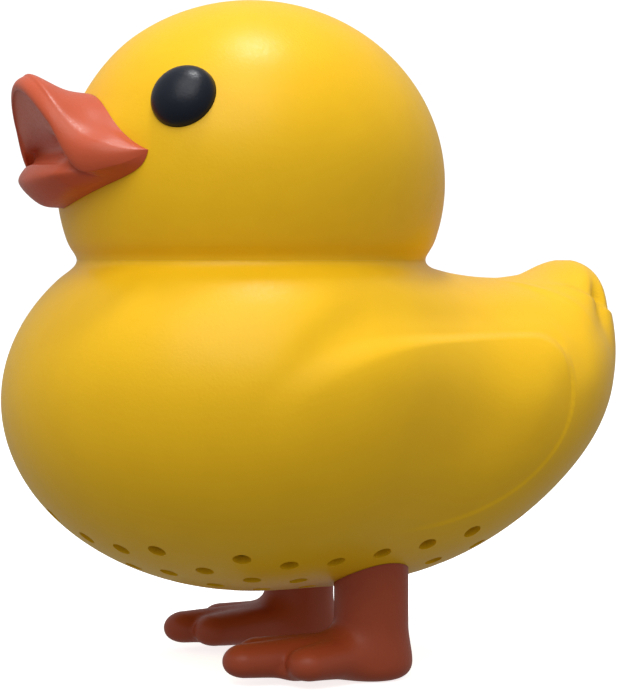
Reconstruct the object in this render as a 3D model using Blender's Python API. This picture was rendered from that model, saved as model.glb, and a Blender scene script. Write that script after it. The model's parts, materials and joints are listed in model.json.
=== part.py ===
"""Floating chlorine dispenser shaped like a toy duck.

The duck stands on +Z, faces -Y, and has its left side at +X. The origin is on the floor, under the
middle of its bounding box. The belly is vented, and the head is a lid on three-start threads. A slotted
basket for 3 inch chlorine tablets hangs from the neck, with a sleeve round it that sets the flow.
Lengths are in millimetres until a mesh is made, which is in metres.
"""

import math

import bmesh
import bpy
import numpy as np
from mathutils import Vector

MM = 0.001
GAP = 0.3  # clearance between pieces that touch
SIDES = (("left", 1), ("right", -1))

# The skin: ellipsoids (centre, radii) that flow into each other.
HEAD_CENTRE = (0, -23.8, 176.9)
HEAD_RADII = (70.8, 70.8, 66.4)
CHEST_CENTRE = (0, -23.1, 98)
CHEST_RADII = (93, 92, 69.5)
CHEST_REAR_RADIUS = 85
RUMP_CENTRE = (0, 57.6, 90.7)
RUMP_RADII = (72, 64.9, 40)
RUMP_TILT = 0.67
TAIL_CENTRE = (0, 102.1, 136.3)
TAIL_RADII = (22, 11, 5)
TAIL_TILT = 1.25
NECK_BLEND = 8.5
RUMP_BLEND = 36.5
TAIL_BLEND = 24.5
WALL = 3
BODY_HEART = (0, -10, 95)  # the whole body can be seen from here
SKIN_DIVISIONS = 14

# The wing: a raised pad on each flank, outlined as a lopsided oval in side view.
WING_CENTRE_Y = 8
WING_CENTRE_Z = 104
WING_LENGTH = 66
WING_RISE = 16.8
WING_DROP = 48
WING_HEIGHT = 2.6

# The neck: everything there turns about one upright axis.
NECK_Y = HEAD_CENTRE[1]
PARTING_Z = 149
DECK_BOTTOM_Z = 142.5
DECK_TOP_Z = 145.5
DECK_BORE = 47
DECK_RECESS = 61
THROAT = 46  # inside radius of the neck tube
TUBE_OUTSIDE = 48.6
TUBE_TOP_Z = 166.5
LEDGE = 43.8
FLANGE_OUTSIDE = 60.5
FLANGE_TOP_Z = PARTING_Z - 0.4
THREAD_STARTS = 3
THREAD_LEAD = 27
THREAD_CREST = 50.5
THREAD_START_Z = 154.5
THREAD_SPAN = 135
THREAD_TURN = 4  # degrees from +X to where the first thread starts
THREAD_HALF_HEIGHT = 1.2
LUG_TIP = 49.1
LUG_SPAN = 24
LUG_LEAD_IN = 3  # degrees between the end of a thread and the end of its lug
LUG_HALF_HEIGHT = 1.4
COLLAR_INSIDE = 51.2
COLLAR_OUTSIDE = 53.4
RIM_OUTSIDE = 61.2
RIM_BOTTOM_Z = 150
RIM_TOP_Z = 152.8
LID_Z = 170
SCREW_COUNT = 4
NECK_SCREW_CIRCLE = 54.6
HEAD_SCREW_CIRCLE = 57.4
NECK_SCREW_TIP_Z = 138.5
HEAD_SCREW_TIP_Z = 161

# The basket takes tablets of 76 mm.
BASKET_INSIDE = 39.5
BASKET_OUTSIDE = 41.3
BASKET_BOTTOM_Z = 64
BASKET_RIM_Z = FLANGE_TOP_Z + GAP
SLEEVE_INSIDE = 41.7
SLEEVE_OUTSIDE = 43.3
SLEEVE_TOP_Z = 112
SLOT_COUNT = 8
SLOT_WIDTH = 10
SLOT_BOTTOM_Z = 72
SLOT_TOP_Z = 104

# The vents: a triangular grid over the belly.
VENT_DIAMETER = 6.5
VENT_PITCH = 17.1
VENT_FRONT_Y = -98.4
VENT_FIELD_Y = -15
VENT_FIELD_RADII = (70, 88, 107)  # sideways, forwards, backwards
VENT_LEG_CLEARANCE = 18

# The legs.
LEG_X = 38
LEG_Y = 8.5
LEG_RADIUS = 13.3
SPIGOT_RADIUS = 7
SPIGOT_TOP_Z = 57.5
SEAT_Z = 48
BALLAST_RADIUS = 4.3
BALLAST_BOTTOM_Z = 8.3
BALLAST_TOP_Z = 56
TOES = ((-14.3, -46.2), (-1.4, -55.1), (15.2, -35.3))  # tips from the leg's axis: inner, middle, outer

# The eyes.
EYE_TURN = 50.5
EYE_RISE = 27.7
EYE_TILT = 26.2
EYE_RADIUS = 12
EYE_HEIGHT = 6.3
EYE_POCKET = 1.6
EYE_STEM = 2.4

# The bill.
BILL_HALF_WIDTH = 47
BILL_CORNER_Z = 186.3
BILL_REACH = 35.5
BILL_SECTIONS = 18
STUD_X = 14
STUD_Z = 190
STUD_RADIUS = 2.5
STUD_SEAT_Y = -83.5


def clear_scene():
    for item in list(bpy.data.objects):
        bpy.data.objects.remove(item, do_unlink=True)


def material(name, colour, roughness, metallic=0.0):
    found = bpy.data.materials.get(name)
    if found:
        return found
    made = bpy.data.materials.new(name)
    made.use_nodes = True
    shader = made.node_tree.nodes["Principled BSDF"]
    shader.inputs["Base Color"].default_value = (*colour, 1)
    shader.inputs["Roughness"].default_value = roughness
    shader.inputs["Metallic"].default_value = metallic
    return made


def yellow_shell():
    return material("yellow_shell", (0.93, 0.56, 0.02), 0.35)


def orange_bill():
    return material("orange_bill", (0.62, 0.09, 0.02), 0.4)


def brown_leg():
    return material("brown_leg", (0.3, 0.05, 0.015), 0.45)


def dark_eye():
    return material("dark_eye", (0.006, 0.009, 0.02), 0.3)


def white_plastic():
    return material("white_plastic", (0.8, 0.8, 0.78), 0.45)


def blue_plastic():
    return material("blue_plastic", (0.05, 0.2, 0.5), 0.45)


def black_rubber():
    return material("black_rubber", (0.02, 0.02, 0.02), 0.7)


def grey_foam():
    return material("grey_foam", (0.5, 0.5, 0.5), 0.9)


def steel():
    return material("steel", (0.6, 0.6, 0.62), 0.3, 1.0)


def solid(name, points, faces, look=None):
    """An object from points in millimetres. Without a look it is a tool that cuts or joins others."""
    mesh = bpy.data.meshes.new(name)
    mesh.from_pydata([tuple(float(value) * MM for value in point) for point in points], [], faces)
    work = bmesh.new()
    work.from_mesh(mesh)
    bmesh.ops.remove_doubles(work, verts=work.verts, dist=0.001 * MM)
    loose = [edge for edge in work.edges if not edge.link_faces]
    bmesh.ops.delete(work, geom=loose, context="EDGES")
    bmesh.ops.recalc_face_normals(work, faces=work.faces)
    work.to_mesh(mesh)
    work.free()
    thing = bpy.data.objects.new(name, mesh)
    bpy.context.scene.collection.objects.link(thing)
    if look:
        mesh.materials.append(look)
        mesh.shade_smooth()
        mesh.set_sharp_from_angle(angle=math.radians(35))
    else:
        thing.hide_render = True
        thing.display_type = "WIRE"
    return thing


def boolean(thing, tool, operation, solver="EXACT"):
    step = thing.modifiers.new(f"{operation.lower()} {tool.name}", "BOOLEAN")
    step.operation = operation
    step.solver = solver
    step.object = tool


def cut(thing, tool, solver="EXACT"):
    boolean(thing, tool, "DIFFERENCE", solver)


def join(thing, tool):
    boolean(thing, tool, "UNION")


def ring_of_faces(rows, around, closed_ends):
    """Faces over rows of points, each row a loop of the same count."""
    faces = []
    for row in range(rows - 1):
        for step in range(around):
            after = (step + 1) % around
            low = row * around
            high = low + around
            faces.append((low + step, low + after, high + after, high + step))
    if closed_ends:
        faces.append(tuple(range(around)))
        faces.append(tuple((rows - 1) * around + step for step in range(around)))
    return faces


def turn_from_up(axis):
    """The turn that takes +Z to an axis."""
    return Vector((0, 0, 1)).rotation_difference(Vector(axis)).to_matrix()


def turned(name, profile, look=None, centre=(0, NECK_Y, 0), axis=(0, 0, 1), segments=32, start=0, sweep=360):
    """Turns a closed profile of (radius, height) about an axis through centre."""
    basis = turn_from_up(axis)
    whole = sweep == 360
    rows = segments if whole else segments + 1
    points = []
    for row in range(rows):
        angle = math.radians(start + sweep * row / segments)
        for radius, height in profile:
            local = Vector((radius * math.cos(angle), radius * math.sin(angle), height))
            points.append(Vector(centre) + basis @ local)
    count = len(profile)
    faces = ring_of_faces(rows, count, not whole)
    if whole:
        last = (rows - 1) * count
        for step in range(count):
            after = (step + 1) % count
            faces.append((last + step, last + after, after, step))
    return solid(name, points, faces, look)


def tube(name, inside, outside, bottom, top, look=None, centre=(0, NECK_Y, 0), segments=32):
    profile = [(inside, bottom), (outside, bottom), (outside, top), (inside, top)]
    return turned(name, profile, look, centre, segments=segments)


def rod(name, radius, start, end, look=None, segments=16):
    """A cylinder from one point to another."""
    start = Vector(start)
    direction = Vector(end) - start
    basis = turn_from_up(direction)
    points = []
    for height in (0, direction.length):
        for step in range(segments):
            angle = 2 * math.pi * step / segments
            local = Vector((radius * math.cos(angle), radius * math.sin(angle), height))
            points.append(start + basis @ local)
    return solid(name, points, ring_of_faces(2, segments, True), look)


def block(name, low, high):
    points = [(x, y, z) for z in (low[2], high[2]) for x, y in ring_corners(low, high)]
    return solid(name, points, ring_of_faces(2, 4, True))


def ring_corners(low, high):
    return ((low[0], low[1]), (high[0], low[1]), (high[0], high[1]), (low[0], high[1]))


def merged(name, tools):
    """One tool from several that don't touch each other."""
    points = []
    faces = []
    for tool in tools:
        first = len(points)
        points += [vertex.co / MM for vertex in tool.data.vertices]
        faces += [tuple(first + index for index in face.vertices) for face in tool.data.polygons]
        bpy.data.objects.remove(tool, do_unlink=True)
    return solid(name, points, faces)


def ellipsoid_field(points, centre, radii, tilt=0.0, rear_radius=None):
    """Below zero inside the ellipsoid, and about the distance in millimetres near its skin."""
    local = points - np.array(centre, float)
    if tilt:
        along = local[..., 1] * math.cos(tilt) + local[..., 2] * math.sin(tilt)
        across = local[..., 2] * math.cos(tilt) - local[..., 1] * math.sin(tilt)
        local = np.stack([local[..., 0], along, across], -1)
    sizes = np.broadcast_to(np.array(radii, float), local.shape).copy()
    if rear_radius:
        sizes[..., 1] = np.where(local[..., 1] > 0, rear_radius, radii[1])
    reach = np.linalg.norm(local / sizes, axis=-1)
    slope = np.linalg.norm(local / sizes**2, axis=-1)
    return reach * (reach - 1) / np.maximum(slope, 1e-9)


def blended(first, second, width):
    """The union of two fields, with a fillet about as wide as width."""
    near = np.clip(width - np.abs(first - second), 0, None) / width
    return np.minimum(first, second) - near * near * width / 4


def smooth_step(low, high, value):
    share = np.clip((value - low) / (high - low), 0, 1)
    return share * share * (3 - 2 * share)


def wing_relief(points):
    """How far the wing stands out of the flank."""
    along = (points[..., 1] - WING_CENTRE_Y) / WING_LENGTH
    height = points[..., 2] - WING_CENTRE_Z
    up = np.where(height > 0, height / WING_RISE, height / WING_DROP)
    reach = (np.abs(along) ** 3 + np.abs(up) ** 3) ** (1 / 3)
    pad = 1 - smooth_step(0.9, 1.08, reach)
    front = smooth_step(-45, 15, points[..., 1])
    flank = smooth_step(20, 40, np.abs(points[..., 0]))
    return WING_HEIGHT * pad * front * flank


def skin_field(points, with_tail=True):
    """Below zero inside the duck's skin."""
    chest = ellipsoid_field(points, CHEST_CENTRE, CHEST_RADII, rear_radius=CHEST_REAR_RADIUS)
    rump = ellipsoid_field(points, RUMP_CENTRE, RUMP_RADII, RUMP_TILT)
    head = ellipsoid_field(points, HEAD_CENTRE, HEAD_RADII)
    body = blended(chest, rump, RUMP_BLEND)
    if with_tail:
        tail = ellipsoid_field(points, TAIL_CENTRE, TAIL_RADII, TAIL_TILT)
        body = blended(body, tail, TAIL_BLEND) - wing_relief(points)
    return blended(body, head, NECK_BLEND)


def distance_to_skin(origin, directions, offset, top_z=None, with_tail=True, reach=170):
    """How far each ray from origin goes before it leaves the skin moved out by offset."""
    steps = np.linspace(1, reach, 110)
    points = origin[:, None] + steps[None, :, None] * directions[:, None]
    outside = skin_field(points, with_tail) > offset
    if top_z:
        outside |= points[..., 2] > top_z
    first = np.argmax(outside, axis=1)
    near = steps[first - 1]
    far = steps[first]
    for _ in range(24):
        middle = (near + far) / 2
        points = origin + middle[:, None] * directions
        out = skin_field(points, with_tail) > offset
        if top_z:
            out |= points[:, 2] > top_z
        near = np.where(out, near, middle)
        far = np.where(out, middle, far)
    return near


def star_surface(name, offset, divisions, top_z, with_tail=True):
    """The skin below top_z as a mesh: a cube's grid thrown out from the body's heart."""
    angles = np.tan(np.linspace(-math.pi / 4, math.pi / 4, divisions + 1))
    directions = []
    faces = []
    for side in range(3):
        for sign in (-1, 1):
            first = len(directions)
            for row in angles:
                for column in angles:
                    direction = np.zeros(3)
                    direction[side] = sign
                    direction[(side + 1) % 3] = row
                    direction[(side + 2) % 3] = column
                    directions.append(direction / np.linalg.norm(direction))
            for row in range(divisions):
                for column in range(divisions):
                    corner = first + row * (divisions + 1) + column
                    faces.append((corner, corner + 1, corner + divisions + 2, corner + divisions + 1))
    directions = np.array(directions)
    origin = np.broadcast_to(np.array(BODY_HEART, float), directions.shape)
    reach = distance_to_skin(origin, directions, offset, top_z, with_tail)
    return solid(name, origin + reach[:, None] * directions, faces)


def head_rings(offset, bottom_z, rows, around):
    """Rows of points round the head, from bottom_z up to its crown."""
    height = HEAD_RADII[2] + offset
    low = math.asin((bottom_z - HEAD_CENTRE[2]) / height)
    points = []
    for row in range(rows):
        rise = low + (math.pi / 2 - low) * row / rows
        z = HEAD_CENTRE[2] + height * math.sin(rise)
        turn = np.linspace(0, 2 * math.pi, around, endpoint=False)
        directions = np.stack([np.cos(turn), np.sin(turn), np.zeros(around)], -1)
        origin = np.broadcast_to(np.array((0, NECK_Y, z), float), directions.shape)
        reach = distance_to_skin(origin, directions, offset)
        points += list(origin + reach[:, None] * directions)
    return points, (0, NECK_Y, HEAD_CENTRE[2] + height)


def head_surface(rows=10, around=32):
    """The head's wall as one closed skin, open at the neck."""
    bottom_z = PARTING_Z + GAP
    outer, outer_crown = head_rings(0, bottom_z, rows, around)
    inner, inner_crown = head_rings(-WALL, bottom_z, rows, around)
    count = rows * around
    points = outer + inner + [outer_crown, inner_crown]
    outer_faces = ring_of_faces(rows, around, False)
    faces = list(outer_faces)
    faces += [tuple(index + count for index in reversed(face)) for face in outer_faces]
    for step in range(around):
        after = (step + 1) % around
        top = count - around
        faces.append((after, step, step + count, after + count))
        faces.append((top + step, top + after, 2 * count))
        faces.append((top + after + count, top + step + count, 2 * count + 1))
    return points, faces


def vent_centres():
    """Where the vents are, on the grid and clear of the legs."""
    row_gap = VENT_PITCH * math.sqrt(3) / 2
    sideways, forwards, backwards = VENT_FIELD_RADII
    centres = []
    for row in range(-4, 5):
        for step in range(12):
            x = row * row_gap
            y = VENT_FRONT_Y + VENT_PITCH * (step + 0.5 * (row % 2))
            lengthways = backwards if y > VENT_FIELD_Y else forwards
            in_field = math.hypot(x / sideways, (y - VENT_FIELD_Y) / lengthways) < 1
            if in_field and math.hypot(abs(x) - LEG_X, y - LEG_Y) > VENT_LEG_CLEARANCE:
                centres.append((x, y))
    return centres


def make_body_shell():
    shell = star_surface("body_shell", 0, SKIN_DIVISIONS, PARTING_Z + 8)
    shell.hide_render = False
    shell.display_type = "TEXTURED"
    shell.data.materials.append(yellow_shell())
    shell.data.shade_smooth()
    cut(shell, block("above_neck", (-150, -150, PARTING_Z - GAP), (150, 150, 300)))
    cavity = star_surface("cavity", -WALL, 8, PARTING_Z + 8, with_tail=False)
    cut(cavity, block("above_deck", (-140, -140, DECK_BOTTOM_Z), (140, 140, 290)))
    for side, sign in SIDES:
        place = (sign * LEG_X, LEG_Y, 0)
        cut(cavity, tube(f"{side}_leg_boss", 0, SPIGOT_RADIUS + 5, 15, SEAT_Z, centre=place, segments=16))
    cut(shell, cavity)
    opening = [
        (0, DECK_BOTTOM_Z - 5),
        (DECK_BORE, DECK_BOTTOM_Z - 5),
        (DECK_BORE, DECK_TOP_Z),
        (DECK_RECESS, DECK_TOP_Z),
        (DECK_RECESS, PARTING_Z + 5),
        (0, PARTING_Z + 5),
    ]
    cut(shell, turned("deck_opening", opening))
    cut(shell, merged("deck_screw_holes", [
        rod("hole", 1.9, (x, y, DECK_BOTTOM_Z - 4), (x, y, DECK_TOP_Z + 1), segments=8)
        for x, y in screw_places(NECK_SCREW_CIRCLE, 0)
    ]))
    for side, sign in SIDES:
        place = (sign * LEG_X, LEG_Y, 0)
        hole = tube(f"{side}_leg_hole", 0, SPIGOT_RADIUS + GAP, 20, SEAT_Z + 5, centre=place, segments=16)
        cut(shell, hole, "MANIFOLD")  # EXACT leaves faces inside these holes, and round the vents
    vents = []
    for x, y in vent_centres():
        vents.append(rod("vent", VENT_DIAMETER / 2, (x, y, 18), (x, y, 78), segments=6))
    cut(shell, merged("vents", vents), "MANIFOLD")


def screw_places(radius, turn):
    places = []
    for number in range(SCREW_COUNT):
        angle = math.radians(turn + 45 + 360 * number / SCREW_COUNT)
        places.append((radius * math.cos(angle), NECK_Y + radius * math.sin(angle)))
    return places


def helical_ridge(name, inside, outside, half_height, start_angle, span, start_z, steps):
    """A ridge that climbs the thread's lead. Its ends are flat."""
    points = []
    crest = 0.5 * half_height if outside > inside else half_height
    for step in range(steps + 1):
        swept = span * step / steps
        angle = math.radians(start_angle + swept)
        middle = start_z + THREAD_LEAD * swept / 360
        for radius, height in (
            (inside, -half_height),
            (outside, -crest),
            (outside, crest),
            (inside, half_height),
        ):
            points.append((radius * math.cos(angle), NECK_Y + radius * math.sin(angle), middle + height))
    return solid(name, points, ring_of_faces(steps + 1, 4, True))


def make_neck_ring():
    profile = [
        (LEDGE, DECK_TOP_Z + GAP),
        (FLANGE_OUTSIDE, DECK_TOP_Z + GAP),
        (FLANGE_OUTSIDE, FLANGE_TOP_Z),
        (TUBE_OUTSIDE, FLANGE_TOP_Z),
        (TUBE_OUTSIDE, TUBE_TOP_Z),
        (THROAT, TUBE_TOP_Z),
        (THROAT, FLANGE_TOP_Z),
        (LEDGE, FLANGE_TOP_Z),
    ]
    ring = turned("neck_ring", profile, white_plastic(), segments=40)
    for start in range(THREAD_STARTS):
        join(ring, helical_ridge(
            f"thread_{start}", TUBE_OUTSIDE - 1, THREAD_CREST, THREAD_HALF_HEIGHT,
            THREAD_TURN + 360 * start / THREAD_STARTS, THREAD_SPAN, THREAD_START_Z, 12,
        ))
    holes = []
    for x, y in screw_places(NECK_SCREW_CIRCLE, 0):
        holes.append(rod("hole", 1.9, (x, y, DECK_TOP_Z - 2), (x, y, FLANGE_TOP_Z + 1), segments=8))
    cut(ring, merged("flange_holes", holes))
    wells = []
    for x, y in screw_places(NECK_SCREW_CIRCLE, 0):
        wells.append(rod("well", 3.4, (x, y, FLANGE_TOP_Z - 1.5), (x, y, FLANGE_TOP_Z + 1), segments=12))
    cut(ring, merged("flange_wells", wells), "MANIFOLD")


def make_neck_screws():
    head_z = FLANGE_TOP_Z - 1.5 + GAP
    for number, (x, y) in enumerate(screw_places(NECK_SCREW_CIRCLE, 0), 1):
        profile = [
            (0, head_z + 1.3),
            (3.0, head_z + 1.3),
            (3.0, head_z),
            (1.5, head_z),
            (1.5, NECK_SCREW_TIP_Z),
            (0, NECK_SCREW_TIP_Z),
        ]
        turned(f"neck_screw_{number}", profile, steel(), centre=(x, y, 0), segments=12)


def make_floats():
    profile = [(49.5, 110), (77, 110), (77, 120), (66, 136), (49.5, 136)]
    for side, start in (("left", -86), ("right", 94)):
        turned(f"{side}_float", profile, grey_foam(), segments=14, start=start, sweep=172)


def toe(name, side_sign, tip):
    """One toe: a tapered rounded bar from under the leg to its tip, cut flat underneath later."""
    start = Vector((side_sign * LEG_X, LEG_Y + 2, 0))
    end = Vector((side_sign * (LEG_X + tip[0]), LEG_Y + tip[1], 0))
    direction = (end - start).normalized()
    across = Vector((-direction.y, direction.x, 0))
    length = (end - start).length
    around = 12
    points = []
    for share, half_width, middle, half_height in (
        (-0.02, 7, 7, 8),
        (0.05, 10, 7, 10),
        (0.35, 9.5, 6.5, 10),
        (0.7, 9.5, 6, 9),
        (0.88, 8, 5.5, 7.5),
        (0.97, 4.5, 5, 5),
        (1.0, 1.5, 5, 2),
    ):
        here = start + direction * (length * share)
        for step in range(around):
            angle = 2 * math.pi * step / around
            sideways = half_width * math.cos(angle)
            height = middle + half_height * math.sin(angle)
            points.append(here + across * sideways + Vector((0, 0, height)))
    return solid(name, points, ring_of_faces(7, around, True))


def make_legs():
    envelope = star_surface("skin_clearance", 0.35, SKIN_DIVISIONS, PARTING_Z + 8)
    ground = block("below_ground", (-100, -100, -30), (100, 100, 0))
    for side, sign in SIDES:
        place = (sign * LEG_X, LEG_Y, 0)
        profile = [
            (0, 62),
            (LEG_RADIUS, 62),
            (LEG_RADIUS, 12),
            (LEG_RADIUS + 0.8, 6),
            (LEG_RADIUS - 1, 0),
            (LEG_RADIUS - 1, -1),
            (0, -1),
        ]
        leg = turned(f"{side}_leg", profile, brown_leg(), centre=place, segments=24)
        for number, tip in enumerate(TOES, 1):
            join(leg, toe(f"{side}_toe_{number}", sign, tip))
        cut(leg, envelope)
        join(leg, tube(f"{side}_spigot", 0, SPIGOT_RADIUS, 25, SPIGOT_TOP_Z, centre=place, segments=16))
        bore_low = BALLAST_BOTTOM_Z - GAP
        cut(leg, tube(f"{side}_bore", 0, BALLAST_RADIUS + 0.4, bore_low, 70, centre=place, segments=12))
        cut(leg, ground)


def make_leg_fixings():
    for side, sign in SIDES:
        place = Vector((sign * LEG_X, LEG_Y, 0))
        up = Vector((0, 0, 1))
        bore = SPIGOT_RADIUS + GAP
        tube(f"{side}_leg_washer", bore, 10.5, SEAT_Z + GAP, SEAT_Z + 1.5, steel(), place, 16)
        hex_nut(f"{side}_leg_nut", bore, 11.5, place + up * (SEAT_Z + 1.5 + GAP), up, 5.5)
        low = place + up * BALLAST_BOTTOM_Z
        high = place + up * BALLAST_TOP_Z
        rod(f"{side}_ballast", BALLAST_RADIUS, low, high, steel(), 12)


def hex_nut(name, bore, corner_radius, base, axis, height):
    """A nut that stands on base and rises along axis."""
    around = 12
    basis = turn_from_up(axis)
    points = []
    flat = corner_radius * math.cos(math.pi / 6)
    for inner, level in ((False, 0), (False, height), (True, height), (True, 0)):
        for step in range(around):
            angle = 2 * math.pi * step / around
            outer_radius = flat if step % 2 else corner_radius
            radius = bore if inner else outer_radius
            local = Vector((radius * math.cos(angle), radius * math.sin(angle), level))
            points.append(Vector(base) + basis @ local)
    faces = ring_of_faces(4, around, False)
    last = 3 * around
    for step in range(around):
        after = (step + 1) % around
        faces.append((last + step, last + after, after, step))
    return solid(name, points, faces, white_plastic())


def slot_tools(name, inside, outside, turn):
    """Upright slots, all round, as tools between two radii."""
    tools = []
    for number in range(SLOT_COUNT):
        angle = math.radians(turn + 360 * number / SLOT_COUNT)
        outward = Vector((math.cos(angle), math.sin(angle), 0))
        across = Vector((-outward.y, outward.x, 0)) * (SLOT_WIDTH / 2)
        points = []
        for level in (SLOT_BOTTOM_Z, SLOT_TOP_Z):
            for radius, sign in ((inside, -1), (outside, -1), (outside, 1), (inside, 1)):
                points.append(Vector((0, NECK_Y, level)) + outward * radius + across * sign)
        tools.append(solid("slot", points, ring_of_faces(2, 4, True)))
    return merged(name, tools)


def make_basket():
    floor = BASKET_BOTTOM_Z + 2.5
    profile = [
        (0, BASKET_BOTTOM_Z),
        (SLEEVE_OUTSIDE, BASKET_BOTTOM_Z),
        (SLEEVE_OUTSIDE, floor),
        (BASKET_OUTSIDE, floor),
        (BASKET_OUTSIDE, BASKET_RIM_Z),
        (THROAT - 0.4, BASKET_RIM_Z),
        (THROAT - 0.4, BASKET_RIM_Z + 2),
        (BASKET_INSIDE, BASKET_RIM_Z + 2),
        (BASKET_INSIDE, floor),
        (0, floor),
    ]
    basket = turned("tablet_basket", profile, white_plastic())
    cut(basket, slot_tools("basket_slots", BASKET_INSIDE - 5, BASKET_OUTSIDE + 5, 0))
    drains = []
    for count, radius in ((1, 0), (6, 22)):
        for number in range(count):
            angle = 2 * math.pi * number / count
            x = radius * math.cos(angle)
            y = NECK_Y + radius * math.sin(angle)
            drains.append(rod("drain", 3, (x, y, BASKET_BOTTOM_Z - 3), (x, y, floor + 3), segments=6))
    cut(basket, merged("drains", drains))


def make_sleeve():
    bottom = BASKET_BOTTOM_Z + 2.5 + GAP
    sleeve = tube("flow_sleeve", SLEEVE_INSIDE, SLEEVE_OUTSIDE, bottom, SLEEVE_TOP_Z, blue_plastic())
    cut(sleeve, slot_tools("sleeve_slots", SLEEVE_INSIDE - 5, SLEEVE_OUTSIDE + 5, 0))


def make_seal():
    bottom = TUBE_TOP_Z + GAP
    top = LID_Z - GAP
    profile = [
        (45.5, bottom + 0.8),
        (46.3, bottom),
        (49.2, bottom),
        (50, bottom + 0.8),
        (50, top - 0.8),
        (49.2, top),
        (46.3, top),
        (45.5, top - 0.8),
    ]
    turned("neck_seal", profile, black_rubber())


def make_head_base():
    profile = [
        (0, LID_Z),
        (COLLAR_INSIDE, LID_Z),
        (COLLAR_INSIDE, RIM_BOTTOM_Z),
        (RIM_OUTSIDE, RIM_BOTTOM_Z),
        (RIM_OUTSIDE, RIM_TOP_Z),
        (COLLAR_OUTSIDE, RIM_TOP_Z),
        (COLLAR_OUTSIDE, LID_Z + 2.5),
        (0, LID_Z + 2.5),
    ]
    base = turned("head_base", profile, white_plastic(), segments=40)
    lug_z = THREAD_START_Z + THREAD_LEAD * LUG_LEAD_IN / 360 - THREAD_HALF_HEIGHT - GAP - LUG_HALF_HEIGHT
    for start in range(THREAD_STARTS):
        angle = THREAD_TURN + 360 * start / THREAD_STARTS + LUG_LEAD_IN
        join(base, helical_ridge(
            f"lug_{start}", COLLAR_INSIDE + 1, LUG_TIP, LUG_HALF_HEIGHT, angle, LUG_SPAN, lug_z, 3,
        ))
    holes = []
    wells = []
    for x, y in screw_places(HEAD_SCREW_CIRCLE, 0):
        holes.append(rod("hole", 1.9, (x, y, RIM_BOTTOM_Z - 1), (x, y, RIM_TOP_Z + 1), segments=8))
        wells.append(rod("well", 3.1, (x, y, RIM_BOTTOM_Z - 1), (x, y, RIM_BOTTOM_Z + 1.5), segments=12))
    cut(base, merged("rim_holes", holes))
    cut(base, merged("rim_wells", wells))


def make_head_screws():
    for number, (x, y) in enumerate(screw_places(HEAD_SCREW_CIRCLE, 0), 1):
        low = RIM_BOTTOM_Z + 0.1
        profile = [
            (0, low),
            (2.8, low),
            (2.8, low + 1.1),
            (1.5, low + 1.1),
            (1.5, HEAD_SCREW_TIP_Z),
            (0, HEAD_SCREW_TIP_Z),
        ]
        turned(f"head_screw_{number}", profile, steel(), centre=(x, y, 0), segments=12)


def eye_frame(sign):
    """The point on the head's skin where an eye is centred, and the direction it looks in."""
    turn = math.radians(EYE_TURN)
    tilt = math.radians(EYE_TILT)
    ring = HEAD_RADII[0] * math.sqrt(1 - (EYE_RISE / HEAD_RADII[2]) ** 2)
    outward = Vector((sign * math.sin(turn), -math.cos(turn), 0))
    point = Vector(HEAD_CENTRE) + outward * ring + Vector((0, 0, EYE_RISE))
    look = outward * math.cos(tilt) + Vector((0, 0, math.sin(tilt)))
    return point, look


def make_head_shell():
    points, faces = head_surface()
    shell = solid("head_shell", points, faces, yellow_shell())
    for number, (x, y) in enumerate(screw_places(HEAD_SCREW_CIRCLE, 0), 1):
        base = RIM_TOP_Z + GAP
        outward = Vector((x, y - NECK_Y, 0)).normalized()
        join(shell, rod(f"screw_boss_{number}", 3.5, (x, y, base), (x, y, 166), segments=12))
        middle = Vector((0, NECK_Y, 0)) + outward * 60.5
        low = middle + Vector((0, 0, base))
        high = middle + Vector((0, 0, 161))
        join(shell, rod(f"screw_web_{number}", 3.6, low, high, segments=12))
    cut(shell, merged("boss_holes", [
        rod("hole", 1.8, (x, y, RIM_TOP_Z - 2), (x, y, 163), segments=8)
        for x, y in screw_places(HEAD_SCREW_CIRCLE, 0)
    ]))
    for sign in (-1, 1):
        point, look = eye_frame(sign)
        pocket_floor = point - look * EYE_POCKET
        cut(shell, rod(f"eye_pocket_{sign}", EYE_RADIUS + 0.35, pocket_floor, point + look * 6, segments=20))
        cut(shell, rod(f"eye_hole_{sign}", EYE_STEM + GAP, point - look * 8, point + look * 4, segments=12))
        # The flat pad inside that a stud of the bill is clamped to, and the hole for the stud.
        join(shell, along_y(f"stud_seat_{sign}", 7, sign * STUD_X, -89.6, STUD_SEAT_Y, 16))
        cut(shell, along_y(f"stud_hole_{sign}", STUD_RADIUS + GAP, sign * STUD_X, -100, -75, 12))


def along_y(name, radius, x, front_y, back_y, segments):
    """A rod from front to back at the height of the bill's studs."""
    return rod(name, radius, (x, front_y, STUD_Z), (x, back_y, STUD_Z), segments=segments)


def make_eyes():
    for side, sign in SIDES:
        point, look = eye_frame(sign)
        floor = -EYE_POCKET + GAP
        profile = [(0, -11), (EYE_STEM, -11), (EYE_STEM, floor), (EYE_RADIUS, floor)]
        for angle in np.linspace(0, math.pi / 2, 6):
            profile.append((EYE_RADIUS * math.cos(angle), 0.4 + EYE_HEIGHT * math.sin(angle)))
        turned(f"{side}_eye", profile, dark_eye(), centre=point, axis=look, segments=20)
        washer = [(EYE_STEM + 0.2, -4.9), (6.5, -4.9), (6.5, -3.9), (EYE_STEM + 0.2, -3.9)]
        turned(f"{side}_eye_washer", washer, steel(), centre=point, axis=look, segments=16)


def head_front(x, z, gap):
    """The Y of the head's skin in front, at a place in front view, moved out by gap."""
    flat = (x / HEAD_RADII[0]) ** 2 + ((z - HEAD_CENTRE[2]) / HEAD_RADII[2]) ** 2
    return HEAD_CENTRE[1] - HEAD_RADII[1] * math.sqrt(1 - flat) - gap


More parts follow.
